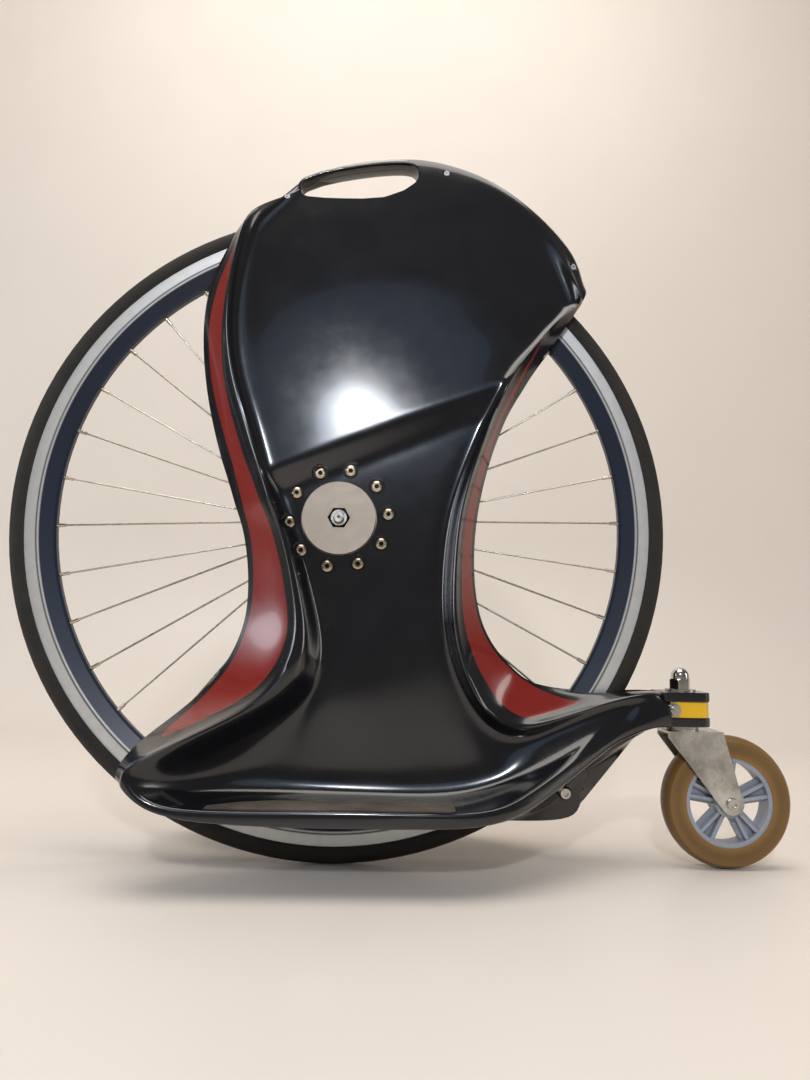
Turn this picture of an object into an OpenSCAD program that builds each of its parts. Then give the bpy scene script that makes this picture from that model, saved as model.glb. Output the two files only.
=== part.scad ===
// One-wheeled kick scooter: a spoked wheel in a moulded shell, with two footboards and a trailing caster.
// The wheel stands in the XZ plane, its axle runs along Y and the caster trails at +X.
// The origin is on the ground, at the middle of the overall box.

/* [Main wheel] */
// Radius over the tyre
wheel_r = 336; // [335:0.5:338]
// Radius of the tyre's round section
tyre_r = 12.5; // [12:0.1:12.5]
// Outer radius of the rim's hooks
rim_r = 318; // [317:0.5:318.5]
// Radial depth of the rim, from hook to apex
rim_depth = 29.4; // [28:0.1:31]
// Width of the rim
rim_w = 20; // [18:0.5:21]
// Number of spokes
spoke_count = 36; // [32:4:36]
// Diameter of a spoke
spoke_d = 2; // [1.8:0.1:2.2]
// Turn of the first spoke from +X, in degrees
spoke_phase = 1.7; // [0:0.1:3]
// Half the distance between the hub's flanges
flange_y = 28; // [26:0.5:29]

/* [Axle and hub plates] */
// Diameter of the axle's thread
axle_d = 10; // [10:0.5:10]
// Length of the axle
axle_len = 112; // [108:1:116]
// Diameter of the boss that stands in the shell's hole
boss_d = 71; // [69:0.5:72]
// Pitch circle diameter of the hub bolts
hub_pcd = 96.5; // [95:0.5:98]
// Number of hub bolts on a side
hub_bolts = 10; // [8:1:10]
// Width across the flats of the hex recess
recess_af = 19; // [18.5:0.1:20]
// Width across the flats of an axle nut
nut_af = 17; // [16.5:0.1:17.5]

/* [Shell] */
// Wall thickness of the shell mouldings
wall = 3; // [2.5:0.1:3.2]
// Half the gap between the two mouldings
parting = 0.3; // [0.2:0.1:0.5]

/* [Caster] */
// Distance of the caster's axle behind the main axle
caster_x = 395.2; // [393:0.2:397]
// Radius of the caster wheel
caster_r = 65; // [63:0.5:65.5]
// Width of the caster's tyre
caster_w = 24; // [22:0.5:25]
// Distance from the swivel axis to the caster's axle
trail = 43.7; // [42:0.1:45]
// Distance between the outer faces of the fork
fork_w = 34; // [33:0.5:35]
// Thickness of the fork's sheet
fork_t = 2.5; // [2.2:0.1:2.8]
// Diameter of the swivel stem
stem_d = 12; // [11.5:0.5:12]

/* [Hidden] */

$fn = 96;
eps = 0.01;
// Extra on the diameter of a hole that a fastener fills.
fit = 0.02;
running_gap = 0.05;
// Depth of the shell's face round the hub, and height of the tread, both set by the net below.
panel_y = 46;
tread_z = -262.5;

// The overall box runs from the front of the tyre to the back of the caster.
wheel_x = -(caster_x + caster_r - wheel_r) / 2;
tyre_c = wheel_r - tyre_r;
rim_apex = rim_r - rim_depth;
stem_x = caster_x - trail;
caster_z = caster_r - wheel_r;

black = "#101113";
steel = "#b9b7b0";
zinc = "#8f8c82";
alloy = "#b5ada0";

module at_axle() { translate([wheel_x, 0, wheel_r]) children(); }
// A shape drawn in X and Y, with its height along -Y, stood up in the wheel's plane.
module stand() { rotate([90, 0, 0]) children(); }
module both_sides() {
    children();
    mirror([0, 1, 0]) children();
}
// A ring swept about the axle from a profile of [radius, width] points.
module swept_ring() { stand() rotate_extrude($fn = 144) children(); }
module hex_bar(af, h) { cylinder(h = h, d = af / cos(30), $fn = 6); }

/* ---------- main wheel ---------- */

tyre_wall = 3.6;
hook_t = 1.6;
well_depth = 8.4;
bead_clear = 0.1;
// The casing's open ends are two beads, which stand in the rim's well inside the hooks.
module tyre() {
    well_half = rim_w / 2 - hook_t - bead_clear;
    color("#26231f") at_axle() swept_ring() difference() {
        union() {
            translate([tyre_c, 0]) circle(r = tyre_r, $fn = 48);
            translate([rim_r - 7.4, -well_half]) square([9, 2 * well_half]);
        }
        translate([tyre_c, 0]) circle(r = tyre_r - tyre_wall, $fn = 40);
        translate([rim_r - 20, -4.6]) square([20, 9.2]);
        for (y = [well_half, -well_half - 10]) translate([rim_r - 20, y]) square([20 + bead_clear, 10]);
    }
}

tube_r = tyre_r - 4.2;
module inner_tube() {
    color("#1a1a1a") at_axle() swept_ring() translate([tyre_c + 0.3, 0]) difference() {
        circle(r = tube_r, $fn = 40);
        circle(r = tube_r - 1.2, $fn = 40);
    }
}

// Deep aluminium rim: two hooked brake tracks, a tyre well, and walls that run in to the apex.
module rim_section() {
    half = rim_w / 2;
    difference() {
        polygon([
            [rim_r, half], [rim_r, half - hook_t], [rim_r - well_depth, half - hook_t], [rim_r - well_depth, 0],
            [rim_r - well_depth, hook_t - half], [rim_r, hook_t - half], [rim_r, -half], [rim_r - 13.5, -half],
            [rim_apex + 2.5, -4.5], [rim_apex, -3], [rim_apex, 3], [rim_apex + 2.5, 4.5], [rim_r - 13.5, half]
        ]);
        polygon([
            [rim_r - 10, half - 2], [rim_r - 10, 2 - half], [rim_r - 14, 2 - half],
            [rim_apex + 3, -2.6], [rim_apex + 3, 2.6], [rim_r - 14, half - 2]
        ]);
    }
}

module rim() {
    color("#232a38") at_axle() difference() {
        swept_ring() rim_section();
        for (i = [0 : spoke_count - 1])
            on_spoke(i) translate([0, 0, spoke_len + 1]) cylinder(h = 10, d = nipple_d + 0.3, $fn = 24);
        rotate([0, -valve_angle(), 0])
            translate([rim_apex - 2, 0, 0]) rotate([0, 90, 0]) cylinder(h = rim_depth, d = 6.4, $fn = 24);
    }
}

// The valve sits halfway between two spokes.
function valve_angle() = spoke_phase + (6 + 0.5) * 360 / spoke_count;

module rim_tape() {
    color("#3a3a44") at_axle() difference() {
        swept_ring() translate([rim_r - well_depth + 0.12, -7.5]) square([0.6, 15]);
        rotate([0, -valve_angle(), 0])
            translate([rim_r - 20, 0, 0]) rotate([0, 90, 0]) cylinder(h = 20, d = 6.4, $fn = 24);
    }
}

module valve() {
    color(steel) at_axle() rotate([0, -valve_angle(), 0]) rotate([0, 90, 0]) {
        translate([0, 0, rim_apex - 24]) cylinder(h = 24 + rim_depth - 2.7, d = 6, $fn = 24);
        translate([0, 0, rim_apex - 4]) cylinder(h = 3.5, d = 9, $fn = 24);
    }
}

spoke_head_r = 18;
spoke_end_r = rim_apex - 4;
spoke_end_y = 1.6;
spoke_len = norm([spoke_end_r - spoke_head_r, flange_y - spoke_end_y]);
spoke_lean = atan2(flange_y - spoke_end_y, spoke_end_r - spoke_head_r);
nipple_len = 12;
nipple_d = 3.8;

// Places a child on spoke i, with its height along the spoke and its start at the hub's flange.
module on_spoke(i) {
    side = i % 2 == 0 ? -1 : 1;
    rotate([0, -spoke_phase - i * 360 / spoke_count, 0])
        translate([spoke_head_r, side * flange_y, 0])
            rotate([0, 0, -side * spoke_lean]) rotate([0, 90, 0]) children();
}

module spokes() {
    color(steel) at_axle() for (i = [0 : spoke_count - 1])
        on_spoke(i) cylinder(h = spoke_len, d = spoke_d, $fn = 16);
}

module nipples() {
    color("#c9c7c0") at_axle() for (i = [0 : spoke_count - 1]) on_spoke(i) difference() {
        translate([0, 0, spoke_len - nipple_len + 7]) cylinder(h = nipple_len, d = nipple_d, $fn = 20);
        translate([0, 0, spoke_len - nipple_len]) cylinder(h = nipple_len + eps, d = spoke_d + fit, $fn = 16);
    }
}

module wheel_hub() {
    color("#2b2b2e") at_axle() difference() {
        stand() rotate_extrude() polygon([
            [0, -33], [13, -33], [16, -30.5], [23, -30.5], [23, -26], [15, -25], [12, -15],
            [12, 15], [15, 25], [23, 26], [23, 30.5], [16, 30.5], [13, 33], [0, 33]
        ]);
        stand() cylinder(h = 80, d = axle_d + 2, center = true);
        both_sides() translate([0, -24, 0]) stand() cylinder(h = 10, d = 22);
        for (i = [0 : spoke_count - 1])
            on_spoke(i) translate([0, 0, -0.5]) cylinder(h = 14, d = spoke_d + fit, $fn = 16);
    }
}

module hub_bearings() {
    color(steel) at_axle() both_sides() translate([0, -25, 0]) stand() difference() {
        cylinder(h = 7, d = 22);
        translate([0, 0, -1]) cylinder(h = 9, d = axle_d + 2 * running_gap);
    }
}

/* ---------- axle and hub plates ---------- */

plate_d = 112;
plate_inner_y = panel_y - wall - 4.2;
plate_face_y = panel_y - wall - 0.2;
boss_face_y = panel_y + 4;
recess_floor_y = plate_face_y + 0.2;

// Each end is turned down a little past the nut and has a centre drilling.
axle_end_y = 51.1;
module axle() {
    color(steel) at_axle() stand() difference() {
        union() {
            cylinder(h = 2 * axle_end_y, d = axle_d, center = true);
            cylinder(h = axle_len, d = axle_d - 0.4, center = true);
        }
        both_sides_z() translate([0, 0, axle_len / 2 + eps])
            rotate([180, 0, 0]) cylinder(h = 3, d1 = 3.2, d2 = 0.4);
    }
}
module both_sides_z() {
    children();
    mirror([0, 0, 1]) children();
}

// Spacers run from the bearings' inner rings to the hub plates.
module axle_spacers() {
    color(steel) at_axle() both_sides() translate([0, -32.2, 0]) stand() difference() {
        cylinder(h = plate_inner_y - 32.2, d = 15.5);
        translate([0, 0, -1]) cylinder(h = 20, d = axle_d + fit);
    }
}

module axle_nuts() {
    color(steel) at_axle() both_sides() translate([0, -recess_floor_y, 0]) stand() difference() {
        intersection() {
            hex_bar(nut_af, 8);
            translate([0, 0, -2]) cylinder(h = 20, r1 = 17.9, r2 = 0.5 * nut_af - 1.4, $fn = 48);
        }
        translate([0, 0, -1]) cylinder(h = 12, d = axle_d + fit);
    }
}

function hub_bolt_angle(i) = 6 + i * 360 / hub_bolts;
module at_hub_bolts() {
    for (i = [0 : hub_bolts - 1])
        rotate([0, -hub_bolt_angle(i), 0]) translate([hub_pcd / 2, 0, 0]) children();
}

module hub_plate() {
    difference() {
        union() {
            translate([0, -plate_inner_y, 0]) stand() cylinder(h = plate_face_y - plate_inner_y, d = plate_d);
            translate([0, -plate_inner_y, 0]) stand() cylinder(h = boss_face_y - plate_inner_y, d = boss_d);
        }
        translate([0, -20, 0]) stand() cylinder(h = 60, d = axle_d + 0.2);
        translate([0, -recess_floor_y, 0]) stand() hex_bar(recess_af, 20);
        at_hub_bolts() translate([0, -30, 0]) stand() cylinder(h = 20, d = 6 + fit, $fn = 32);
    }
}
module hub_plate_right() { color(alloy) at_axle() hub_plate(); }
module hub_plate_left() { color(alloy) at_axle() mirror([0, 1, 0]) hub_plate(); }

bolt_seat_y = panel_y - 1.4;
module hub_bolt_set() {
    at_hub_bolts() difference() {
        union() {
            translate([0, -plate_inner_y - 0.2, 0]) stand()
                cylinder(h = bolt_seat_y - plate_inner_y, d = 6, $fn = 32);
            translate([0, -bolt_seat_y, 0]) stand() rotate_extrude($fn = 32)
                polygon([[0, 0], [6, 0], [6, 0.8], [5.3, 2.2], [3.8, 3.1], [0, 3.1]]);
        }
        translate([0, -bolt_seat_y - 1, 0]) stand() hex_bar(4, 3);
    }
}
module hub_bolts_right() { color(steel) at_axle() hub_bolt_set(); }
module hub_bolts_left() { color(steel) at_axle() mirror([0, 1, 0]) hub_bolt_set(); }

/* ---------- shell ---------- */

// The shell's outer face is one smooth net of rows and columns. A point is [x, height, depth], measured
// from the axle, with depth away from the middle plane. Rows run from the front edge to the rear edge.
column_count = 18;

// Each side row gives the front edge, front rail and rail foot, then the rear foot, rail and edge.
side_rows = [
    [[-109, 321, 20], [-97, 327, 31], [-88, 323, 20], [236, 246, 20], [243, 246, 29], [249, 244, 20]],
    [[-125, 288, 20], [-109, 296, 37], [-99, 294, 25], [229, 233, 24], [237, 232, 32], [243, 233, 20]],
    [[-141, 250, 20], [-115, 246, 44], [-108, 245, 33], [217, 216, 28], [225, 220, 36], [232, 216, 20]],
    [[-147, 200, 20], [-116, 192, 50], [-109, 190, 40], [204, 200, 33], [212, 207, 40], [220, 198, 20]],
    [[-142, 143, 20], [-108, 142, 55], [-101, 141, 45], [191, 183, 38], [200, 191, 45], [209, 183, 20]],
    [[-132, 96, 20], [-95, 101, 58], [-87, 98, 49], [176, 166, 43], [186, 174, 48], [198, 166, 20]],
    [[-122, 62, 21], [-82, 62, 60], [-74, 58, 52], [164, 148, 48], [174, 157, 52], [190, 152, 20]],
    [[-117, 48, 22], [-77, 48, 60], [-69, 43, 53], [158, 138, 49], [168, 147, 53], [185, 144, 20]],
    [[-109, 25, 23], [-69, 29, 61], [-61, 27, 46], [145, 109, 46], [154, 117, 54], [170, 117, 20]],
    [[-104, 10, 24], [-64, 14, 62], [-56, 12, 46], [139, 95, 46], [147, 100, 55], [163, 100, 20]],
    [[-96, -12, 25], [-54, -8, 62], [-46, -9, 46], [126, 62, 46], [134, 64, 57], [151, 66, 20]],
    [[-90, -46, 25], [-43, -42, 64], [-33, -44, 46], [109, 10, 46], [118, 10, 59], [139, 12, 20]],
    [[-89, -80, 23.2], [-34, -80, 66], [-22, -82, 46], [103, -45, 46], [113, -46, 61], [136, -42, 20]],
    [[-93, -108, 21.6], [-30, -111, 69], [-15, -115, 46], [103, -92, 47], [113, -93, 62], [142, -90, 20]],
    [[-106, -140, 21], [-36, -141, 74], [-15, -150, 48], [111, -134, 48], [120, -134, 62], [157, -121, 20]],
    [[-124, -165, 23], [-53, -166, 80], [-31, -179, 50], [128, -170, 47], [133, -164, 60], [174, -140, 20]],
];

// Points of the wall and tread rows between the two rails' feet.
wall_row = [
    [-24, -216, 50], [15, -223, 48], [55, -225, 48], [95, -222, 47], [122, -214, 47], [138, -205, 46]
];
fillet_row = [
    [-60, -241, 55], [-12, -253, 51], [48, -255, 51], [104, -253, 50], [146, -242, 48], [166, -226, 46]
];
tread_back_row = [
    [-86, -256, 66], [-22, -261, 64], [48, -261.5, 63], [114, -261.5, 61], [166, -246, 55], [197, -222, 48]
];
tread_row = [
    [-102, -261, 84], [-32, -262.5, 84], [48, -262.5, 84], [118, -262.5, 82], [176, -245, 66], [222, -219, 48]
];
tread_front_row = [
    [-116, -262, 105], [-40, -262.5, 107], [48, -262.5, 107],
    [124, -262.5, 105], [180, -246, 80], [236, -215, 48]
];
lip_back_row = [
    [-119, -262, 112], [-42, -262.5, 112.5], [48, -262.5, 112.5],
    [130, -262, 110], [181, -247, 86], [240, -218, 50]
];
lip_top_row = [
    [-122, -263, 115], [-43, -264, 115], [48, -263, 115], [135, -261.5, 114], [182, -250, 89], [242, -222, 52]
];
lip_low_row = [
    [-122, -269, 115], [-43, -272.5, 115], [48, -272.5, 115],
    [135, -270.5, 114], [186, -258, 88], [243, -230, 50]
];
under_row = [
    [-118, -272, 109], [-43, -277, 109], [48, -277, 109], [131, -275.5, 107], [184, -265, 80], [236, -238, 44]
];
pocket_row = [
    [-114, -275, 60], [-43, -283, 60], [48, -283, 60], [132, -282, 58], [196, -276, 28], [226, -258, 22]
];
base_row = [
    [-108, -279, 24], [-43, -289, 18], [48, -289, 18], [132, -289, 18], [196, -289, 18], [238, -284, 17]
];

// Rows of the footboard and arm: [front edge, front rail, rail foot], middle points, rear points.
foot_rows = [
    [[[-143, -184, 28], [-80, -186, 88], [-60, -201, 56]], wall_row,
        [[149, -194, 45], [150, -186, 56], [157, -180, 45],
        [169, -168, 34], [183, -158, 24], [191, -154, 20]]],
    [[[-160, -199, 38], [-112, -202, 97], [-92, -220, 64]], fillet_row,
        [[182, -208, 41], [180, -198, 50], [187, -191, 42],
        [199, -180, 33], [213, -167, 25], [220, -162, 20]]],
    [[[-173, -211, 52], [-137, -214, 104], [-117, -235, 74]], tread_back_row,
        [[224, -197, 34], [225, -187, 40], [230, -183, 36],
        [238, -176, 30], [248, -167, 23], [254, -165, 19]]],
    [[[-180, -220, 68], [-156, -223, 110], [-138, -246, 88]], tread_row,
        [[263, -185, 29], [266, -176, 31], [271, -172, 28.5],
        [277, -168, 25], [284, -165, 20], [290, -164, 16]]],
    [[[-183, -228, 86], [-168, -231, 114], [-151, -251, 106]], tread_front_row,
        [[286, -180, 26], [302, -171, 25.5], [312, -166, 24], [320, -163.5, 20], [327, -163, 11],
            [333, -163, parting]]],
    [[[-183, -232, 94], [-171, -235, 114.5], [-154, -252, 112]], lip_back_row,
        [[275, -194, 30], [296, -184, 27], [307, -179, 25],
        [316, -176, 24], [325, -174, 23.5], [333, -173, 23]]],
    [[[-183, -236, 100], [-172, -240, 115], [-157, -253, 115]], lip_top_row,
        [[273, -205, 37], [290, -198, 32], [303, -194, 29],
        [313, -192, 27], [323, -191, 25.5], [333, -190, 24]]],
    [[[-182, -240, 100], [-173, -245, 113], [-157, -258, 115]], lip_low_row,
        [[272, -214, 34], [288, -205, 30], [302, -200, 27],
        [313, -198, 24.5], [323, -197, 22.5], [333, -197, 21]]],
    [[[-180, -242, 96], [-170, -248, 107], [-154, -261, 109]], under_row,
        [[264, -222, 29], [284, -211, 26], [299, -205, 22],
        [311, -200.5, 19], [322, -198, 15], [333, -197, 13]]],
    [[[-172, -242, 74], [-162, -250, 68], [-146, -262, 62]], pocket_row,
        [[250, -238, 19], [270, -222, 18], [288, -211, 17], [305, -204, 13], [320, -199, 9], [333, -197, 6]]],
    [[[-160, -240, 44], [-150, -250, 38], [-136, -265, 30]], base_row,
        [[244, -262, 16], [253, -243, 15], [270, -225, 14],
        [292, -210, 8], [314, -200, 2], [333, -197, parting]]],
];

// The parting line over the top, from the front horn to the rear horn.
cap_row = [
    [-87, 342], [-83, 347], [-79, 352], [-74, 357], [-67, 363], [-52, 376], [-15, 392], [30, 400], [75, 402],
    [115, 394], [150, 381.5], [183, 362], [212, 338], [231, 317], [242, 302], [248, 289], [252, 277], [253, 266]
];
cap_centre = [70, 262];
inner_steps = [0.07, 0.25, 0.42, 0.58, 0.75, 0.93];
flank_steps = [0.14, 0.48, 0.82];
// How far the panel swells between its rails in the side rows, from the top one down.
panel_crown = [9.5, 9.5, 8.5, 7, 5, 3, 1.2, 0.4];

function mix(a, b, t) = a + (b - a) * t;
function inset(p, by) = p + by * (cap_centre - p) / norm(cap_centre - p);
function raised(p, depth) = [p[0], p[1], depth];
function cap_ring(by, depth, front, rear) = [
    for (j = [0 : column_count - 1])
        j == 0 ? front : j == column_count - 1 ? rear : raised(inset(cap_row[j], by), depth)
];
function side_row(r, crown) = concat(
    [r[0]], [for (t = flank_steps) mix(r[0], r[1], t)], [r[1], r[2]],
    [for (t = inner_steps) mix(r[2], r[3], t) + [0, 0, 4 * crown * t * (1 - t)]],
    [r[3], r[4]], [for (t = flank_steps) mix(r[4], r[5], t)], [r[5]]
);
function foot_row(r) = concat(
    [r[0][0]], [for (t = flank_steps) mix(r[0][0], r[0][1], t)], [r[0][1], r[0][2]], r[1], r[2]
);

net = concat(
    [
        cap_ring(0, parting, [-87, 342, parting], [253, 266, parting]),
        cap_ring(4, 9, [-92, 338, 10], [254, 259, 10]),
        cap_ring(14, 14.5, [-99, 331, 17], [252, 251, 17])
    ],
    [for (i = [0 : len(side_rows) - 1]) side_row(side_rows[i], i < len(panel_crown) ? panel_crown[i] : 0)],
    [for (r = foot_rows) foot_row(r)]
);

// A uniform cubic through a list of points; lift moves the points out so that the curve passes through them.
function knot(p, i) = i < 0 ? 2 * p[0] - p[1] : i > len(p) - 1 ? 2 * p[len(p) - 1] - p[len(p) - 2] : p[i];
function lift(p) = [for (i = [0 : len(p) - 1]) p[i] - (knot(p, i - 1) - 2 * p[i] + knot(p, i + 1)) / 6];
function curve(p, t) =
    let (i = max(0, min(floor(t), len(p) - 2)), s = t - i)
    (pow(1 - s, 3) * knot(p, i - 1) + (3 * pow(s, 3) - 6 * s * s + 4) * p[i]
        + (-3 * pow(s, 3) + 3 * s * s + 3 * s + 1) * p[i + 1] + pow(s, 3) * knot(p, i + 2)) / 6;

lifted_net = [for (row = lift(net)) lift(row)];
row_steps = [0, 0.5, each [1 : 9], 9.5, each [10 : 17], each [18 : 0.5 : len(net) - 1]];
column_steps = [each [0 : 2], each [3 : 0.5 : 6], each [7 : 10], each [11 : 0.5 : 14], each [15 : 17]];
nudge = 0.6;

function shell_point(u, v) = curve(curve(lifted_net, u), v);
function shell_normal(u, v) =
    let (
        row = curve(lifted_net, u),
        along = curve(row, v + nudge) - curve(row, v - nudge),
        down = curve(curve(lifted_net, u + nudge), v) - curve(curve(lifted_net, u - nudge), v),
        n = cross(down, along)
    ) n / norm(n);
// The wall thins towards the top, where the horns are narrow.
function wall_at(u) = wall * min(1, 0.4 + 0.15 * u);
function inset_point(u, v) =
    let (p = shell_point(u, v) - wall_at(u) * shell_normal(u, v)) [p[0], p[1], max(p[2], parting)];
// Behind the rails and the lip the inner face runs straight across.
front_rail = [1, 6];
rear_rail = [11, 16];
lip_rows = [23, 27];
function within(t, span) = t > span[0] && t < span[1];
function share(t, span) = (t - span[0]) / (span[1] - span[0]);
function across(u, v, span) = mix(inset_point(u, span[0]), inset_point(u, span[1]), share(v, span));
function bridged(u, v) =
    within(v, front_rail) ? across(u, v, front_rail)
    : within(v, rear_rail) ? across(u, v, rear_rail)
    : inset_point(u, v);
function inner_point(u, v) =
    within(u, lip_rows)
        ? mix(bridged(lip_rows[0], v), bridged(lip_rows[1], v), share(u, lip_rows))
        : bridged(u, v);
function plotted(p) = [p[0], -p[2], p[1]];

module shell_skin() {
    nu = len(row_steps);
    nv = len(column_steps);
    outer = [for (u = row_steps, v = column_steps) plotted(shell_point(u, v))];
    inner = [for (u = row_steps, v = column_steps) plotted(inner_point(u, v))];
    far = nu * nv;
    function at(i, j) = i * nv + j;
    polyhedron(
        points = concat(outer, inner),
        faces = concat(
            [for (i = [0 : nu - 2], j = [0 : nv - 2]) [at(i, j), at(i, j + 1), at(i + 1, j + 1)]],
            [for (i = [0 : nu - 2], j = [0 : nv - 2]) [at(i, j), at(i + 1, j + 1), at(i + 1, j)]],
            [for (i = [0 : nu - 2], j = [0 : nv - 2])
                [far + at(i, j), far + at(i + 1, j + 1), far + at(i, j + 1)]],
            [for (i = [0 : nu - 2], j = [0 : nv - 2])
                [far + at(i, j), far + at(i + 1, j), far + at(i + 1, j + 1)]],
            [for (j = [0 : nv - 2]) each brim(at(0, j + 1), at(0, j), far)],
            [for (j = [0 : nv - 2]) each brim(at(nu - 1, j), at(nu - 1, j + 1), far)],
            [for (i = [0 : nu - 2]) each brim(at(i, 0), at(i + 1, 0), far)],
            [for (i = [0 : nu - 2]) each brim(at(i + 1, nv - 1), at(i, nv - 1), far)]
        )
    );
}
function brim(a, b, far) = [[a, b, far + b], [a, far + b, far + a]];

cap_screw_at = [[-67.6, 348.8], [102.5, 383.4], [239.7, 282.4]];
corner_at = [227.2, -261.8];
arm_bolt_at = [336.2, -179.9];
arm_top_z = -162.8;
arm_low_z = -196.8;
core_top_z = -172.5;
core_low_z = -187.5;
arm_end_x = 376;
arm_half_w = 22.5;
shell_end_x = 333;
core_from_x = 322;
core_tongue_w = 33;
screw_seat_y = 11.6;
corner_seat_y = 20.5;
washer_seat_y = 21.5;

// The hand slot: a half-moon through the cap, low at the front and high at the rear, drawn round a row of
// circles. Each is [x, height, radius].
slot_discs = [
    [-43, 361, 11], [-27, 363.5, 15.2], [-8, 366, 18], [12, 368.3, 20],
    [30, 371, 20.5], [46, 375.5, 18], [56, 379.5, 14.5], [61, 382, 11.5]
];
module slot_outline(grow) {
    hull() for (d = slot_discs) translate([d[0], d[1]]) circle(r = d[2] + grow, $fn = 32);
}

// Plan of the arm's end, drawn from the middle plane out, with a rounded outer corner.
module arm_plan(from_x, to_x, half_w, corner, from_y) {
    translate([from_x, from_y]) square([to_x - corner - from_x, half_w - from_y]);
    translate([to_x - corner - 1, from_y]) square([corner + 1, half_w - corner - from_y]);
    translate([to_x - corner, half_w - corner]) circle(r = corner);
}
module arm_flange(low_z, high_z) {
    mirror([0, 1, 0]) translate([0, 0, low_z])
        linear_extrude(high_z - low_z) arm_plan(shell_end_x - 3, arm_end_x, arm_half_w, 11, parting);
}

// Places a child with its height pointing out of the right face, at [x, height] and a given depth.
module facing(p, depth) { translate([p[0], -depth, p[1]]) stand() children(); }

// The room that the arm's core takes out of the skins.
module core_pocket() {
    translate([shell_end_x + 0.3, -30, core_low_z]) cube([60, 60, core_top_z - core_low_z]);
    translate([core_from_x - 0.1, -core_tongue_w / 2 - 0.1, core_low_z - 0.05])
        cube([20, core_tongue_w + 0.2, core_top_z - core_low_z + 0.1]);
}

module shell_half() {
    difference() {
        union() {
            shell_skin();
            arm_flange(core_top_z + 0.1, arm_top_z);
            arm_flange(arm_low_z, core_low_z - 0.1);
            facing([0, 0], parting) linear_extrude(12.5 - parting) difference() {
                slot_outline(wall);
                slot_outline(0);
            }
            for (p = cap_screw_at) facing(p, parting) cylinder(h = 12 - parting, d = 9.6, $fn = 32);
            facing(corner_at, parting) cylinder(h = corner_seat_y + 0.6 - parting, d = 14, $fn = 32);
        }
        facing([0, 0], -1) linear_extrude(40) slot_outline(0);
        facing([0, 0], 30) cylinder(h = 60, d = boss_d + 3);
        facing([0, 0], 10) cylinder(h = plate_face_y + 0.1 - 10, d = plate_d + 0.6);
        core_pocket();
        at_hub_bolts() facing([0, 0], 30) cylinder(h = 60, d = 6.4, $fn = 32);
        at_hub_bolts() facing([0, 0], bolt_seat_y) cylinder(h = 30, d = 15, $fn = 32);
        for (p = cap_screw_at) facing(p, -1) cylinder(h = 40, d = 4.2, $fn = 24);
        for (p = cap_screw_at) facing(p, screw_seat_y) cylinder(h = 30, d = 7.8, $fn = 32);
        facing(corner_at, -1) cylinder(h = 60, d = 6.2, $fn = 24);
        facing(corner_at, corner_seat_y) cylinder(h = 50, d = 13, $fn = 32);
        facing(arm_bolt_at, -1) cylinder(h = 60, d = 6.2, $fn = 24);
        facing(arm_bolt_at, washer_seat_y) cylinder(h = 30, d = 15, $fn = 32);
        translate([stem_x, 0, -220]) cylinder(h = 80, d = stem_d + 0.2);
        grip_block(3);
    }
}
module shell_right() { color(black) at_axle() shell_half(); }
module shell_left() { color(black) at_axle() mirror([0, 1, 0]) shell_half(); }

/* ---------- footboard grips ---------- */

grip_from_x = -104;
grip_to_x = 112;
grip_from_y = 74;
grip_to_y = 110;
grip_t = 1.2;
grip_z = tread_z - 0.3;
// The inner front corner is cut back where the rail comes round.
module grip_block(h) {
    translate([0, 0, grip_z]) linear_extrude(h) polygon([
        [grip_from_x, -grip_to_y], [grip_to_x - 4, -grip_to_y], [grip_to_x, -grip_to_y + 4],
        [grip_to_x, -grip_from_y], [grip_from_x + 54, -grip_from_y],
        [grip_from_x + 26, -grip_from_y - 8], [grip_from_x, -grip_from_y - 24]
    ]);
}
module grip_right() { color("#4d463c") at_axle() grip_block(grip_t); }
module grip_left() { color("#4d463c") at_axle() mirror([0, 1, 0]) grip_block(grip_t); }

/* ---------- fasteners through the shell ---------- */

// A shank from face to face, with a round socket head at each end.
module barrel_screw(seat, shank_d, head_d, head_h, socket_af) {
    difference() {
        union() {
            cylinder(h = 2 * seat, d = shank_d, center = true, $fn = 32);
            both_sides_z() translate([0, 0, seat])
                cylinder(h = head_h, d1 = head_d, d2 = head_d - 1.2, $fn = 32);
        }
        both_sides_z() translate([0, 0, seat + head_h - 1.4]) hex_bar(socket_af, 4);
    }
}

module cap_screws() {
    color(steel) at_axle() for (p = cap_screw_at) facing(p, 0) barrel_screw(screw_seat_y, 4, 7, 2.2, 3);
}

module corner_bolt() {
    color(steel) at_axle() facing(corner_at, 0) barrel_screw(corner_seat_y, 6, 11, 5, 5);
}

module arm_bolt_washers() {
    color(steel) at_axle() both_sides() facing(arm_bolt_at, washer_seat_y) difference() {
        cylinder(h = 1.6, d = 14);
        translate([0, 0, -1]) cylinder(h = 4, d = 6 + fit, $fn = 48);
    }
}

module arm_bolt() {
    head_y = washer_seat_y + 1.6;
    color(steel) at_axle() facing(arm_bolt_at, 0) {
        translate([0, 0, -head_y - 4]) cylinder(h = 2 * head_y + 11.5, d = 6, $fn = 48);
        translate([0, 0, -head_y - 4]) hex_bar(10, 4);
        translate([0, 0, head_y]) hex_bar(10, 5.4);
        translate([0, 0, head_y + 5.4]) cylinder(h = 1.6, d = 8.6, $fn = 32);
    }
}

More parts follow.
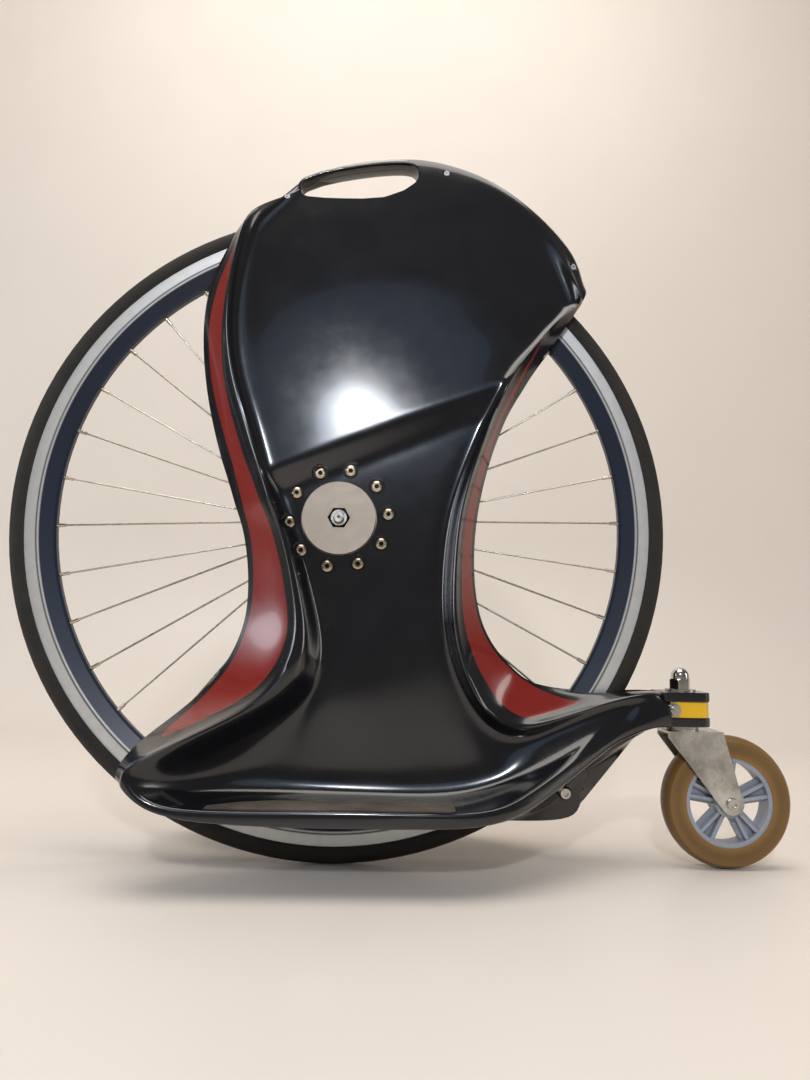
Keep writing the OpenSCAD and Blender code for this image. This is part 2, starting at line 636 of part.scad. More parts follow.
// The block between the arm's flanges, which takes the swivel stem and the cross bolt.
module arm_core() {
    color("#f0b414") at_axle() difference() {
        translate([0, 0, core_low_z]) linear_extrude(core_top_z - core_low_z) {
            both_sides() arm_plan(shell_end_x + 0.4, arm_end_x - 1, washer_seat_y, 10.5, -0.5);
            translate([core_from_x, -core_tongue_w / 2]) square([20, core_tongue_w]);
        }
        translate([stem_x, 0, -220]) cylinder(h = 80, d = stem_d + fit);
        facing(arm_bolt_at, -30) cylinder(h = 60, d = 6 + fit, $fn = 48);
    }
}

/* ---------- caster ---------- */

crown_top_z = -201.5;
race_split_z = -199.3;
washer_t = 2;
nut_base_z = arm_top_z + washer_t;
nut_hex_h = 10.5;
dome_r = 8.9;

module at_stem(z) { at_axle() translate([stem_x, 0, z]) children(); }

module swivel_stem() {
    color(steel) {
        at_stem(crown_top_z - fork_t - 4.4) cylinder(h = 4, d = 20);
        at_stem(crown_top_z - fork_t - 1) cylinder(h = -crown_top_z + fork_t + 1 - 150, d = stem_d);
    }
}

module stem_washer() {
    color(steel) at_stem(arm_top_z) difference() {
        cylinder(h = washer_t, d = 30);
        translate([0, 0, -1]) cylinder(h = 4, d = stem_d + fit);
    }
}

module dome_nut() {
    color(steel) at_stem(nut_base_z) difference() {
        union() {
            intersection() {
                hex_bar(18.5, nut_hex_h);
                cylinder(h = nut_hex_h, r1 = 18, r2 = 9.6, $fn = 48);
            }
            translate([0, 0, nut_hex_h - 1]) cylinder(h = 3.4, r = dome_r);
            translate([0, 0, nut_hex_h + 2.4]) intersection() {
                sphere(r = dome_r);
                cylinder(h = 20, r = 20);
            }
        }
        translate([0, 0, -1]) cylinder(h = 12.2, d = stem_d + fit);
    }
}

// The upper race is fixed under the arm.
module swivel_bearing() {
    color(zinc) at_stem(race_split_z + 0.3) difference() {
        cylinder(h = arm_low_z - race_split_z - 0.3, d = 34);
        translate([0, 0, -1]) cylinder(h = 9, d = stem_d + fit);
    }
}

fork_boss_r = 11;
fork_front_x = 333;
fork_rear_x = 388;

function tangent_point(p, c, r, turn) =
    let (d = c - p, a = atan2(d[1], d[0]) + 180 + turn * acos(r / norm(d))) c + r * [cos(a), sin(a)];

module fork_leg_outline() {
    axle_at = [caster_x, caster_z];
    front = [fork_front_x, crown_top_z - 6];
    rear = [fork_rear_x, crown_top_z];
    polygon([
        [fork_front_x, crown_top_z], front, tangent_point(front, axle_at, fork_boss_r, 1), axle_at,
        tangent_point(rear, axle_at, fork_boss_r, -1), rear
    ]);
    translate(axle_at) circle(r = fork_boss_r);
}

module caster_fork() {
    color(zinc) {
        at_axle() difference() {
            union() {
                both_sides() facing([0, 0], fork_w / 2 - fork_t)
                    linear_extrude(fork_t) fork_leg_outline();
                translate([fork_front_x, -fork_w / 2, crown_top_z - fork_t])
                    cube([fork_rear_x - fork_front_x, fork_w, fork_t]);
            }
            translate([stem_x, 0, -230]) cylinder(h = 60, d = stem_d + 2 * running_gap);
            facing([caster_x, caster_z], -30) cylinder(h = 60, d = 8 + fit, $fn = 48);
        }
        at_stem(crown_top_z) difference() {
            cylinder(h = race_split_z - crown_top_z, d = 34);
            translate([0, 0, -1]) cylinder(h = 9, d = stem_d + 2 * running_gap);
        }
    }
}

module at_caster() { at_axle() translate([caster_x, 0, caster_z]) children(); }
bearing_y = 12;

// The axle bolt, its head and nut, and the thin spacers that keep the bearings off the fork.
module caster_axle() {
    color(steel) at_caster() {
        difference() {
            union() {
                stand() cylinder(h = fork_w, d = 8, center = true, $fn = 48);
                translate([0, -fork_w / 2, 0]) stand() cylinder(h = 3, d1 = 12, d2 = 11);
                translate([0, fork_w / 2 + 5, 0]) stand() hex_bar(13, 5);
            }
            translate([0, -fork_w / 2 - 1.2, 0]) stand() cylinder(h = 4, d = 6.4, $fn = 48);
        }
        both_sides() translate([0, -bearing_y - 0.2, 0]) stand() difference() {
            cylinder(h = fork_w / 2 - fork_t - bearing_y - 0.2, d = 12);
            translate([0, 0, -1]) cylinder(h = 9, d = 8, $fn = 48);
        }
    }
}

module caster_bearings() {
    color("#4a4a4a") at_caster() both_sides() translate([0, -bearing_y + 7, 0]) stand() difference() {
        cylinder(h = 7, d = 22);
        translate([0, 0, -1]) cylinder(h = 9, d = 8 + 2 * running_gap);
    }
}

caster_ring_r = 44;
caster_arms = 5;

module caster_core() {
    color("#8e98a8") at_caster() difference() {
        union() {
            stand() rotate_extrude() translate([39.8, -10.5]) square([caster_ring_r - 39.8, 21]);
            stand() cylinder(h = 24, r = 14.5, center = true);
            for (i = [0 : caster_arms - 1]) rotate([0, -18 - i * 360 / caster_arms, 0]) {
                stand() linear_extrude(5, center = true) polygon([[10, -7], [42, -12], [42, 12], [10, 7]]);
                both_turns() rotate([0, -9, 0]) translate([12, -9, -1.6]) cube([29.5, 18, 3.2]);
            }
        }
        stand() cylinder(h = 30, d = 12, center = true);
        both_sides() translate([0, -5, 0]) stand() cylinder(h = 10, d = 22);
    }
}
module both_turns() {
    children();
    mirror([0, 0, 1]) children();
}

module caster_tyre() {
    color("#a5752f") at_caster() stand() rotate_extrude($fn = 128) difference() {
        intersection() {
            translate([caster_ring_r, -caster_w / 2]) square([30, caster_w]);
            translate([caster_r - 17, 0]) circle(r = 17);
        }
        translate([caster_ring_r - 6, -20]) square([6, 40]);
    }
}

tyre();
inner_tube();
rim();
rim_tape();
spokes();
nipples();
valve();
wheel_hub();
hub_bearings();
axle();
axle_spacers();
axle_nuts();
hub_plate_right();
hub_plate_left();
hub_bolts_right();
hub_bolts_left();
shell_right();
shell_left();
grip_right();
grip_left();
cap_screws();
corner_bolt();
arm_core();
arm_bolt();
arm_bolt_washers();
swivel_stem();
stem_washer();
dome_nut();
swivel_bearing();
caster_fork();
caster_axle();
caster_bearings();
caster_core();
caster_tyre();
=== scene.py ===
"""The one-wheeled kick scooter: moulded shells, wheel, caster, their materials, and a plain studio."""
import math

import bmesh
import bpy
import numpy as np
from mathutils import Matrix, Vector
from mathutils.kdtree import KDTree


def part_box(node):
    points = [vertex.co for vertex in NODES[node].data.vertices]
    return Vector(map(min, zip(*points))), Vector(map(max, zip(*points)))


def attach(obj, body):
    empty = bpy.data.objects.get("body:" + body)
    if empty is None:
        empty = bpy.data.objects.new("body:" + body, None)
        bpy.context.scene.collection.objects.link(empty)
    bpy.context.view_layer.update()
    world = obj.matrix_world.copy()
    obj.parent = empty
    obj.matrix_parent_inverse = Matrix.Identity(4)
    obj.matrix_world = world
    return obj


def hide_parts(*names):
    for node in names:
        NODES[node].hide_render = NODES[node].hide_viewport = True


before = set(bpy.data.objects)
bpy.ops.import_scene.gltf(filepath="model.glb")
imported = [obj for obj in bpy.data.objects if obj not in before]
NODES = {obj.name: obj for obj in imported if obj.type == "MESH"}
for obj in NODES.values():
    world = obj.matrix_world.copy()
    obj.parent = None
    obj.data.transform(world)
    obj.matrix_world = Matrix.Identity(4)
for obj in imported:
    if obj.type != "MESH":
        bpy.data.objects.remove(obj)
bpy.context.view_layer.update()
MM = 0.001


def centre_of(node):
    low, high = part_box(node)
    return (low + high) / 2


AXLE = centre_of("axle")
CASTER = centre_of("caster_tyre")
BOSS_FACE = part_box("hub_plate_left")[1].y
# The hub bolts' pitch circle in millimetres, their number, and the first one's angle from +X in degrees.
HUB_PCD = 96.5
HUB_BOLTS = 10
FIRST_BOLT = 6
# The radius of the hex recess in a hub plate, and how far below the face its floor begins, in millimetres.
RECESS_RADIUS = 11.3
RECESS_TOP = 0.4
# The radius in metres that the end of a colour ramp stands for: on the big wheel, the caster and the fasteners.
WHEEL_RAMP = 0.4
CASTER_RAMP = 0.1
FASTENER_RAMP = 10 * MM
# The flash attribute is the distance into a flash in millimetres, held within this much either way and then
# raised by this much. It is nought on faces that a cut made.
FLASH_BASE = 10.0

# ---------------------------------------------------------------- shader helpers


class Shader:
    """A material's node tree with short calls for the nodes used here."""

    def __init__(self, name, **values):
        self.material = bpy.data.materials.new(name)
        self.material.use_nodes = True
        self.tree = self.material.node_tree
        self.surface = self.tree.nodes["Principled BSDF"]
        for socket, value in values.items():
            self.set(socket, value)

    def set(self, socket, value):
        """socket is the Principled socket's name with underscores for spaces."""
        self.surface.inputs[socket.replace("_", " ")].default_value = value

    def link(self, out, socket):
        self.tree.links.new(out, self.surface.inputs[socket.replace("_", " ")])

    def node(self, kind, **inputs):
        made = self.tree.nodes.new(kind)
        for name, value in inputs.items():
            self.feed(made.inputs[name.replace("_", " ")], value)
        return made

    def feed(self, socket, value):
        if isinstance(value, bpy.types.NodeSocket):
            self.tree.links.new(value, socket)
        else:
            socket.default_value = value

    def local(self):
        return self.tree.nodes.new("ShaderNodeTexCoord").outputs["Object"]

    def noise(self, scale, detail=4.0, roughness=0.55):
        made = self.node(
            "ShaderNodeTexNoise", Scale=scale, Detail=detail, Roughness=roughness, Vector=self.local()
        )
        return made.outputs["Fac"]

    def ramp(self, value, *stops):
        """stops are (place, colour) with colour a grey level or an (r, g, b)."""
        made = self.tree.nodes.new("ShaderNodeValToRGB")
        ramp = made.color_ramp
        while len(ramp.elements) < len(stops):
            ramp.elements.new(0.5)
        for element, (place, colour) in zip(ramp.elements, stops):
            element.position = place
            rgb = (colour,) * 3 if isinstance(colour, (int, float)) else colour
            element.color = (*rgb, 1.0)
        self.feed(made.inputs["Fac"], value)
        return made.outputs["Color"]

    def mix(self, share, first, second):
        made = self.tree.nodes.new("ShaderNodeMix")
        made.data_type = "RGBA"
        for socket, value in (("Factor", share), ("A", first), ("B", second)):
            found = [s for s in made.inputs if s.name == socket and s.enabled][0]
            if isinstance(value, tuple) and len(value) == 3:
                value = (*value, 1.0)
            self.feed(found, value)
        return [s for s in made.outputs if s.enabled][0]

    def math(self, operation, a, b=0.0):
        made = self.tree.nodes.new("ShaderNodeMath")
        made.operation = operation
        self.feed(made.inputs[0], a)
        self.feed(made.inputs[1], b)
        return made.outputs[0]

    def bump(self, height, strength, distance):
        made = self.node("ShaderNodeBump", Strength=strength, Distance=distance)
        self.feed(made.inputs["Height"], height)
        self.link(made.outputs["Normal"], "Normal")

    def attribute(self, name):
        made = self.tree.nodes.new("ShaderNodeAttribute")
        made.attribute_name = name
        return made.outputs["Fac"]

    def length(self, a, b):
        return self.math("SQRT", self.math("ADD", self.math("MULTIPLY", a, a), self.math("MULTIPLY", b, b)))

    def offsets(self, centre):
        """X and Z from an axis along Y through centre."""
        split = self.node("ShaderNodeSeparateXYZ", Vector=self.local())
        x = self.math("SUBTRACT", split.outputs["X"], centre.x)
        z = self.math("SUBTRACT", split.outputs["Z"], centre.z)
        return x, z

    def radius(self, centre):
        """Distance from an axis along Y through centre."""
        return self.length(*self.offsets(centre))

    def turn(self, centre):
        """Angle about an axis along Y through centre, from +X towards +Z."""
        x, z = self.offsets(centre)
        return self.math("ARCTAN2", z, x)


# ---------------------------------------------------------------- the shell's outer face

# The same net of rows and columns as the CAD shell: [x, height, depth] in millimetres from the axle.
# Each side row gives the front edge, front rail and rail foot, then the rear foot, rail and edge.
SIDE_ROWS = [
    [[-109, 321, 20], [-97, 327, 31], [-88, 323, 20], [236, 246, 20], [243, 246, 29], [249, 244, 20]],
    [[-125, 288, 20], [-109, 296, 37], [-99, 294, 25], [229, 233, 24], [237, 232, 32], [243, 233, 20]],
    [[-141, 250, 20], [-115, 246, 44], [-108, 245, 33], [217, 216, 28], [225, 220, 36], [232, 216, 20]],
    [[-147, 200, 20], [-116, 192, 50], [-109, 190, 40], [204, 200, 33], [212, 207, 40], [220, 198, 20]],
    [[-142, 143, 20], [-108, 142, 55], [-101, 141, 45], [191, 183, 38], [200, 191, 45], [209, 183, 20]],
    [[-132, 96, 20], [-95, 101, 58], [-87, 98, 49], [176, 166, 43], [186, 174, 48], [198, 166, 20]],
    [[-122, 62, 21], [-82, 62, 60], [-74, 58, 52], [164, 148, 48], [174, 157, 52], [190, 152, 20]],
    [[-117, 48, 22], [-77, 48, 60], [-69, 43, 53], [158, 138, 49], [168, 147, 53], [185, 144, 20]],
    [[-109, 25, 23], [-69, 29, 61], [-61, 27, 46], [145, 109, 46], [154, 117, 54], [170, 117, 20]],
    [[-104, 10, 24], [-64, 14, 62], [-56, 12, 46], [139, 95, 46], [147, 100, 55], [163, 100, 20]],
    [[-96, -12, 25], [-54, -8, 62], [-46, -9, 46], [126, 62, 46], [134, 64, 57], [151, 66, 20]],
    [[-90, -46, 25], [-43, -42, 64], [-33, -44, 46], [109, 10, 46], [118, 10, 59], [139, 12, 20]],
    [[-89, -80, 23.2], [-34, -80, 66], [-22, -82, 46], [103, -45, 46], [113, -46, 61], [136, -42, 20]],
    [[-93, -108, 21.6], [-30, -111, 69], [-15, -115, 46], [103, -92, 47], [113, -93, 62], [142, -90, 20]],
    [[-106, -140, 21], [-36, -141, 74], [-15, -150, 48], [111, -134, 48], [120, -134, 62], [157, -121, 20]],
    [[-124, -165, 23], [-53, -166, 80], [-31, -179, 50], [128, -170, 47], [133, -164, 60], [174, -140, 20]],
]

# Rows of the footboard and arm: front edge, rail and foot; six points across; six points along the arm.
FOOT_ROWS = [
    [[-143, -184, 28], [-80, -186, 88], [-60, -201, 56],
     [-24, -216, 50], [15, -223, 48], [55, -225, 48], [95, -222, 47], [122, -214, 47], [138, -205, 46],
     [149, -194, 45], [150, -186, 56], [157, -180, 45], [169, -168, 34], [183, -158, 24], [191, -154, 20]],
    [[-160, -199, 38], [-112, -202, 97], [-92, -220, 64],
     [-60, -241, 55], [-12, -253, 51], [48, -255, 51], [104, -253, 50], [146, -242, 48], [166, -226, 46],
     [182, -208, 41], [180, -198, 50], [187, -191, 42], [199, -180, 33], [213, -167, 25], [220, -162, 20]],
    [[-173, -211, 52], [-137, -214, 104], [-117, -235, 74],
     [-86, -256, 66], [-22, -261, 64], [48, -261.5, 63], [114, -261.5, 61], [166, -246, 55], [197, -222, 48],
     [224, -197, 34], [225, -187, 40], [230, -183, 36], [238, -176, 30], [248, -167, 23], [254, -165, 19]],
    [[-180, -220, 68], [-156, -223, 110], [-138, -246, 88],
     [-102, -261, 84], [-32, -262.5, 84], [48, -262.5, 84], [118, -262.5, 82], [176, -245, 66], [222, -219, 48],
     [263, -185, 29], [266, -176, 31], [271, -172, 28.5], [277, -168, 25], [284, -165, 20], [290, -164, 16]],
    [[-183, -228, 86], [-168, -231, 114], [-151, -251, 106],
     [-116, -262, 105], [-40, -262.5, 107], [48, -262.5, 107], [124, -262.5, 105], [180, -246, 80],
     [236, -215, 48],
     [286, -180, 26], [302, -171, 25.5], [312, -166, 24], [320, -163.5, 20], [327, -163, 11], [333, -163, 0.3]],
    [[-183, -232, 94], [-171, -235, 114.5], [-154, -252, 112],
     [-119, -262, 112], [-42, -262.5, 112.5], [48, -262.5, 112.5], [130, -262, 110], [181, -247, 86],
     [240, -218, 50],
     [275, -194, 30], [296, -184, 27], [307, -179, 25], [316, -176, 24], [325, -174, 23.5], [333, -173, 23]],
    [[-183, -236, 100], [-172, -240, 115], [-157, -253, 115],
     [-122, -263, 115], [-43, -264, 115], [48, -263, 115], [135, -261.5, 114], [182, -250, 89],
     [242, -222, 52],
     [273, -205, 37], [290, -198, 32], [303, -194, 29], [313, -192, 27], [323, -191, 25.5], [333, -190, 24]],
    [[-182, -240, 100], [-173, -245, 113], [-157, -258, 115],
     [-122, -269, 115], [-43, -272.5, 115], [48, -272.5, 115], [135, -270.5, 114], [186, -258, 88],
     [243, -230, 50],
     [272, -214, 34], [288, -205, 30], [302, -200, 27], [313, -198, 24.5], [323, -197, 22.5], [333, -197, 21]],
    [[-180, -242, 96], [-170, -248, 107], [-154, -261, 109],
     [-118, -272, 109], [-43, -277, 109], [48, -277, 109], [131, -275.5, 107], [184, -265, 80],
     [236, -238, 44],
     [264, -222, 29], [284, -211, 26], [299, -205, 22], [311, -200.5, 19], [322, -198, 15], [333, -197, 13]],
    [[-172, -242, 74], [-162, -250, 68], [-146, -262, 62],
     [-114, -275, 60], [-43, -283, 60], [48, -283, 60], [132, -282, 58], [196, -276, 28], [226, -258, 22],
     [250, -238, 19], [270, -222, 18], [288, -211, 17], [305, -204, 13], [320, -199, 9], [333, -197, 6]],
    [[-160, -240, 44], [-150, -250, 38], [-136, -265, 30],
     [-108, -279, 24], [-43, -289, 18], [48, -289, 18], [132, -289, 18], [196, -289, 18], [238, -284, 17],
     [244, -262, 16], [253, -243, 15], [270, -225, 14], [292, -210, 8], [314, -200, 2], [333, -197, 0.3]],
]

# The parting line over the top, from the front horn to the rear horn.
CAP_ROW = [
    [-87, 342], [-83, 347], [-79, 352], [-74, 357], [-67, 363], [-52, 376], [-15, 392], [30, 400],
    [75, 402], [115, 394], [150, 381.5], [183, 362], [212, 338], [231, 317], [242, 302], [248, 289],
    [252, 277], [253, 266],
]
CAP_CENTRE = np.array([70.0, 262.0])
# How far each half stops short of the middle plane.
PARTING = 0.3
# The wall's thickness, the share of it that is left along the parting line, and what that share gains with
# each row down.
WALL = 3.0
WALL_AT_TOP = 0.4
WALL_GAIN = 0.15
INNER_STEPS = (0.07, 0.25, 0.42, 0.58, 0.75, 0.93)
FLANK_STEPS = (0.14, 0.48, 0.82)
# How far the panel swells between its rails in the side rows, from the top one down.
PANEL_CROWN = (9.5, 9.5, 8.5, 7, 5, 3, 1.2, 0.4)
# The rows and the columns behind which the inner face runs straight.
LIP_ROWS = (23, 27)
FRONT_RAIL = (1, 6)
REAR_RAIL = (11, 16)


def spread(first, last, steps):
    return [first + (last - first) * t for t in steps]


def cap_ring(inset, depth, front, rear):
    points = np.array(CAP_ROW, float)
    inward = CAP_CENTRE - points
    points = points + inset * inward / np.linalg.norm(inward, axis=1)[:, None]
    ring = np.column_stack([points, np.full(len(points), depth)])
    ring[0], ring[-1] = front, rear
    return ring


def side_row(row, crown):
    edge, rail, foot, rear_foot, rear_rail, rear_edge = np.array(row, float)
    panel = [
        p + [0, 0, 4 * crown * t * (1 - t)] for p, t in zip(spread(foot, rear_foot, INNER_STEPS), INNER_STEPS)
    ]
    return np.array(
        [edge, *spread(edge, rail, FLANK_STEPS), rail, foot, *panel,
         rear_foot, rear_rail, *spread(rear_rail, rear_edge, FLANK_STEPS), rear_edge]
    )


def foot_row(row):
    row = np.array(row, float)
    return np.array([row[0], *spread(row[0], row[1], FLANK_STEPS), *row[1:]])


def build_net():
    rings = [
        cap_ring(0, PARTING, (-87, 342, PARTING), (253, 266, PARTING)),
        cap_ring(4, 9, (-92, 338, 10), (254, 259, 10)),
        cap_ring(14, 14.5, (-99, 331, 17), (252, 251, 17)),
    ]
    crowns = PANEL_CROWN + (0,) * (len(SIDE_ROWS) - len(PANEL_CROWN))
    sides = [side_row(r, c) for r, c in zip(SIDE_ROWS, crowns)]
    return np.array(rings + sides + [foot_row(r) for r in FOOT_ROWS])


def with_ends(p):
    """The list with one more point at each end, in line with the last two."""
    return np.concatenate([[2 * p[0] - p[1]], p, [2 * p[-1] - p[-2]]])


def lift(p):
    """Moves the points out so that the cubic passes through where they were."""
    ends = with_ends(p)
    return p - (ends[:-2] - 2 * p + ends[2:]) / 6


def curve(p, at):
    """The uniform cubic through the list p, at each parameter in at."""
    ends = with_ends(p)
    i = np.clip(np.floor(at).astype(int), 0, len(p) - 2)
    s = (at - i).reshape((-1,) + (1,) * (p.ndim - 1))
    weights = ((1 - s) ** 3, 3 * s**3 - 6 * s**2 + 4, -3 * s**3 + 3 * s**2 + 3 * s + 1, s**3)
    return sum(w * ends[i + k] for k, w in enumerate(weights)) / 6


NET = lift(build_net())
NET = np.array([lift(row) for row in NET])


def shell_surface(us, vs):
    """Points of the outer face, as [row, column, (x, height, depth)] in millimetres."""
    across = curve(NET, us)
    return np.swapaxes(curve(np.swapaxes(across, 0, 1), vs), 0, 1)


def shell_normals(us, vs, nudge=0.6):
    along = shell_surface(us, vs + nudge) - shell_surface(us, vs - nudge)
    down = shell_surface(us + nudge, vs) - shell_surface(us - nudge, vs)
    n = np.cross(down, along)
    return n / np.linalg.norm(n, axis=2)[:, :, None]


def inset_surface(us, vs):
    wall = WALL * np.minimum(1, WALL_AT_TOP + WALL_GAIN * us)
    points = shell_surface(us, vs) - wall[:, None, None] * shell_normals(us, vs)
    points[:, :, 2] = np.maximum(points[:, :, 2], PARTING)
    return points


def bridged_surface(us, vs):
    """The inner face, which runs straight across behind the two rails."""
    points = inset_surface(us, vs)
    for span in (FRONT_RAIL, REAR_RAIL):
        ends = inset_surface(us, np.array(span, float))
        inside = (vs > span[0]) & (vs < span[1])
        share = ((vs[inside] - span[0]) / (span[1] - span[0]))[None, :, None]
        points[:, inside] = ends[:, :1] * (1 - share) + ends[:, 1:] * share
    return points


def inner_surface(us, vs):
    """The inner face, which also runs straight across behind the lip."""
    points = bridged_surface(us, vs)
    ends = bridged_surface(np.array(LIP_ROWS, float), vs)
    inside = (us > LIP_ROWS[0]) & (us < LIP_ROWS[1])
    share = ((us[inside] - LIP_ROWS[0]) / (LIP_ROWS[1] - LIP_ROWS[0]))[:, None, None]
    points[inside] = ends[:1] * (1 - share) + ends[1:] * share
    return points


def to_row(points, side):
    """From [x, height, depth] in millimetres to the row frame in metres.

    side is -1 on the right, 1 on the left.
    """
    p = np.asarray(points, float).reshape(-1, 3) * MM
    return np.column_stack([AXLE.x + p[:, 0], side * p[:, 2], AXLE.z + p[:, 1]])


# ---------------------------------------------------------------- mesh helpers


def new_object(name, vertices, faces):
    mesh = bpy.data.meshes.new(name)
    mesh.from_pydata([tuple(v) for v in vertices], [], [tuple(f) for f in faces])
    mesh.validate()
    mesh.shade_smooth()
    made = bpy.data.objects.new(name, mesh)
    bpy.context.scene.collection.objects.link(made)
    return made


def outward(obj):
    """Makes a closed mesh's faces point out."""
    bm = bmesh.new()
    bm.from_mesh(obj.data)
    bmesh.ops.recalc_face_normals(bm, faces=bm.faces)
    bm.to_mesh(obj.data)
    bm.free()
    return obj


def applied(obj):
    """Replaces the object's mesh with what its modifiers make."""
    graph = bpy.context.evaluated_depsgraph_get()
    mesh = bpy.data.meshes.new_from_object(obj.evaluated_get(graph), depsgraph=graph)
    obj.modifiers.clear()
    obj.data = mesh


def cut_out(obj, cutter):
    """Takes the cutter away from the object, and deletes it."""
    step = obj.modifiers.new("cut", "BOOLEAN")
    step.operation = "DIFFERENCE"
    step.solver = "EXACT"
    step.object = cutter
    applied(obj)
    bpy.data.objects.remove(cutter)


def lathe(name, profile, centre, segments=64):
    """A closed profile of (radius, offset) in millimetres, turned about the axis along Y through centre."""
    vertices = []
    count = len(profile)
    for i in range(segments):
        a = 2 * math.pi * i / segments
        for radius, offset in profile:
            place = (radius * MM * math.cos(a), offset * MM, radius * MM * math.sin(a))
            vertices.append(tuple(centre[k] + place[k] for k in range(3)))
    faces = []
    for i in range(segments):
        j = (i + 1) % segments
        for k in range(count):
            n = (k + 1) % count
            faces.append((i * count + k, i * count + n, j * count + n, j * count + k))
    made = new_object(name, vertices, faces)
    bm = bmesh.new()
    bm.from_mesh(made.data)
    bmesh.ops.remove_doubles(bm, verts=bm.verts, dist=1e-7)
    bmesh.ops.recalc_face_normals(bm, faces=bm.faces)
    bm.to_mesh(made.data)
    bm.free()
    return made


def prism(name, layers, closed=True):
    """Joins outlines of equal length, each a list of 3D points, into a closed solid."""
    count = len(layers[0])
    vertices = [p for layer in layers for p in layer]
    faces = []
    for k in range(len(layers) - 1):
        for i in range(count):
            j = (i + 1) % count
            faces.append((k * count + i, k * count + j, (k + 1) * count + j, (k + 1) * count + i))
    if closed:
        faces.append(tuple(range(count)))
        faces.append(tuple((len(layers) - 1) * count + i for i in reversed(range(count))))
    return outward(new_object(name, vertices, faces))


def join(name, objects):
    """One object from several, in the order given."""
    vertices, faces = [], []
    for obj in objects:
        start = len(vertices)
        vertices += [tuple(v.co) for v in obj.data.vertices]
        faces += [tuple(start + i for i in p.vertices) for p in obj.data.polygons]
        bpy.data.objects.remove(obj)
    return new_object(name, vertices, faces)


def ease_edges(obj, width, segments=2, angle=35):
    """Rounds the sharp edges, by a width in millimetres."""
    step = obj.modifiers.new("eased", "BEVEL")
    step.width = width * MM
    step.segments = segments
    step.limit_method = "ANGLE"
    step.angle_limit = math.radians(angle)
    step.harden_normals = True
    return obj


# ---------------------------------------------------------------- materials


def gloss_shell():
    """Polished black moulding with red flashes, fine dust and wiped smears."""
    s = Shader("shell_gloss", Specular_IOR_Level=0.5, IOR=1.5, Coat_Weight=0.35, Coat_Roughness=0.05)
    inside = s.attribute("flash")
    edge = s.ramp(s.math("DIVIDE", inside, 2 * FLASH_BASE), (0.504, 0.0), (0.524, 1.0))
    cloud = s.noise(9.0, 3.0)
    black = s.mix(cloud, (0.0035, 0.0038, 0.0050), (0.0075, 0.0082, 0.0110))
    red = s.mix(cloud, (0.175, 0.010, 0.007), (0.250, 0.020, 0.014))
    paint = s.mix(edge, black, red)
    dust = s.ramp(s.noise(620.0, 2.0, 0.8), (0.70, 0.0), (0.80, 1.0))
    patches = s.ramp(s.noise(14.0, 3.0), (0.45, 0.0), (0.75, 0.32))
    dusty = s.math("MULTIPLY", dust, patches)
    s.link(s.mix(dusty, paint, (0.16, 0.15, 0.14)), "Base_Color")
    smear = s.noise(22.0, 6.0, 0.7)
    rough = s.ramp(smear, (0.25, 0.13), (0.60, 0.20), (0.85, 0.30))
    s.link(s.mix(dusty, rough, (0.6, 0.6, 0.6)), "Roughness")
    ripple = s.noise(26.0, 1.0)
    s.bump(ripple, 0.05, 0.0006)
    return s.material


def steel_grain(s, low, high):
    """The uneven polish and fine grain that all the steel pieces share."""
    s.link(s.ramp(s.noise(180.0, 3.0), (0.3, low), (0.7, high)), "Roughness")
    s.bump(s.noise(700.0, 2.0), 0.10, 0.0002)


def steel(name, tint, low, high):
    s = Shader(name, Metallic=1.0)
    cloud = s.noise(70.0, 4.0)
    dark = tuple(c * 0.72 for c in tint)
    s.link(s.mix(s.ramp(cloud, (0.30, 0.0), (0.70, 1.0)), dark, tint), "Base_Color")
    steel_grain(s, low, high)
    return s.material


def turned_alloy():
    """Fine lathe rings round the axle, with a dull grey-beige bloom."""
    s = Shader("hub_alloy_turned", Metallic=0.35)
    radius = s.radius(AXLE)
    rings = s.math("SINE", s.math("MULTIPLY", radius, 9000.0))
    cloud = s.noise(55.0, 5.0)
    bare = s.mix(cloud, (0.370, 0.325, 0.275), (0.450, 0.400, 0.345))
    # Painted shade: the hex recess, which lies below the face, is coloured near-black.
    depth = s.node("ShaderNodeSeparateXYZ", Vector=s.local()).outputs["Y"]
    below = s.math("LESS_THAN", s.math("ABSOLUTE", depth), BOSS_FACE - RECESS_TOP * MM)
    recess_painted_shade = s.math("MULTIPLY", below, s.math("LESS_THAN", radius, RECESS_RADIUS * MM))
    s.link(s.mix(recess_painted_shade, bare, (0.010, 0.009, 0.008)), "Base_Color")
    s.link(s.ramp(s.noise(120.0, 4.0), (0.3, 0.46), (0.7, 0.62)), "Roughness")
    s.bump(rings, 0.10, 0.0001)
    return s.material


def button_heads():
    """Warm steel heads with painted shade in their sockets and round their rims. Every bolt is turned back onto
    the first to find its middle.
    """
    s = Shader("button_head_steel", Metallic=1.0)
    pitch = 2 * math.pi / HUB_BOLTS
    turn = s.math("ADD", s.turn(AXLE), pitch / 2 - math.radians(FIRST_BOLT))
    turn = s.math("FLOORED_MODULO", turn, pitch)
    turn = s.math("SUBTRACT", turn, pitch / 2)
    radius = s.radius(AXLE)
    out = s.math("SUBTRACT", s.math("MULTIPLY", radius, s.math("COSINE", turn)), HUB_PCD / 2 * MM)
    across = s.math("MULTIPLY", radius, s.math("SINE", turn))
    away = s.math("DIVIDE", s.length(out, across), FASTENER_RAMP)
    # Painted shade: dark in the middle of each head where the socket would be, and again round the head's rim.
    socket = s.ramp(away, (0.20, 1.0), (0.25, 0.0), (0.50, 0.0), (0.60, 0.8))
    warm = s.mix(s.noise(70.0, 4.0), (0.37, 0.30, 0.20), (0.58, 0.50, 0.38))
    s.link(s.mix(socket, warm, (0.030, 0.019, 0.010)), "Base_Color")
    steel_grain(s, 0.16, 0.30)
    return s.material


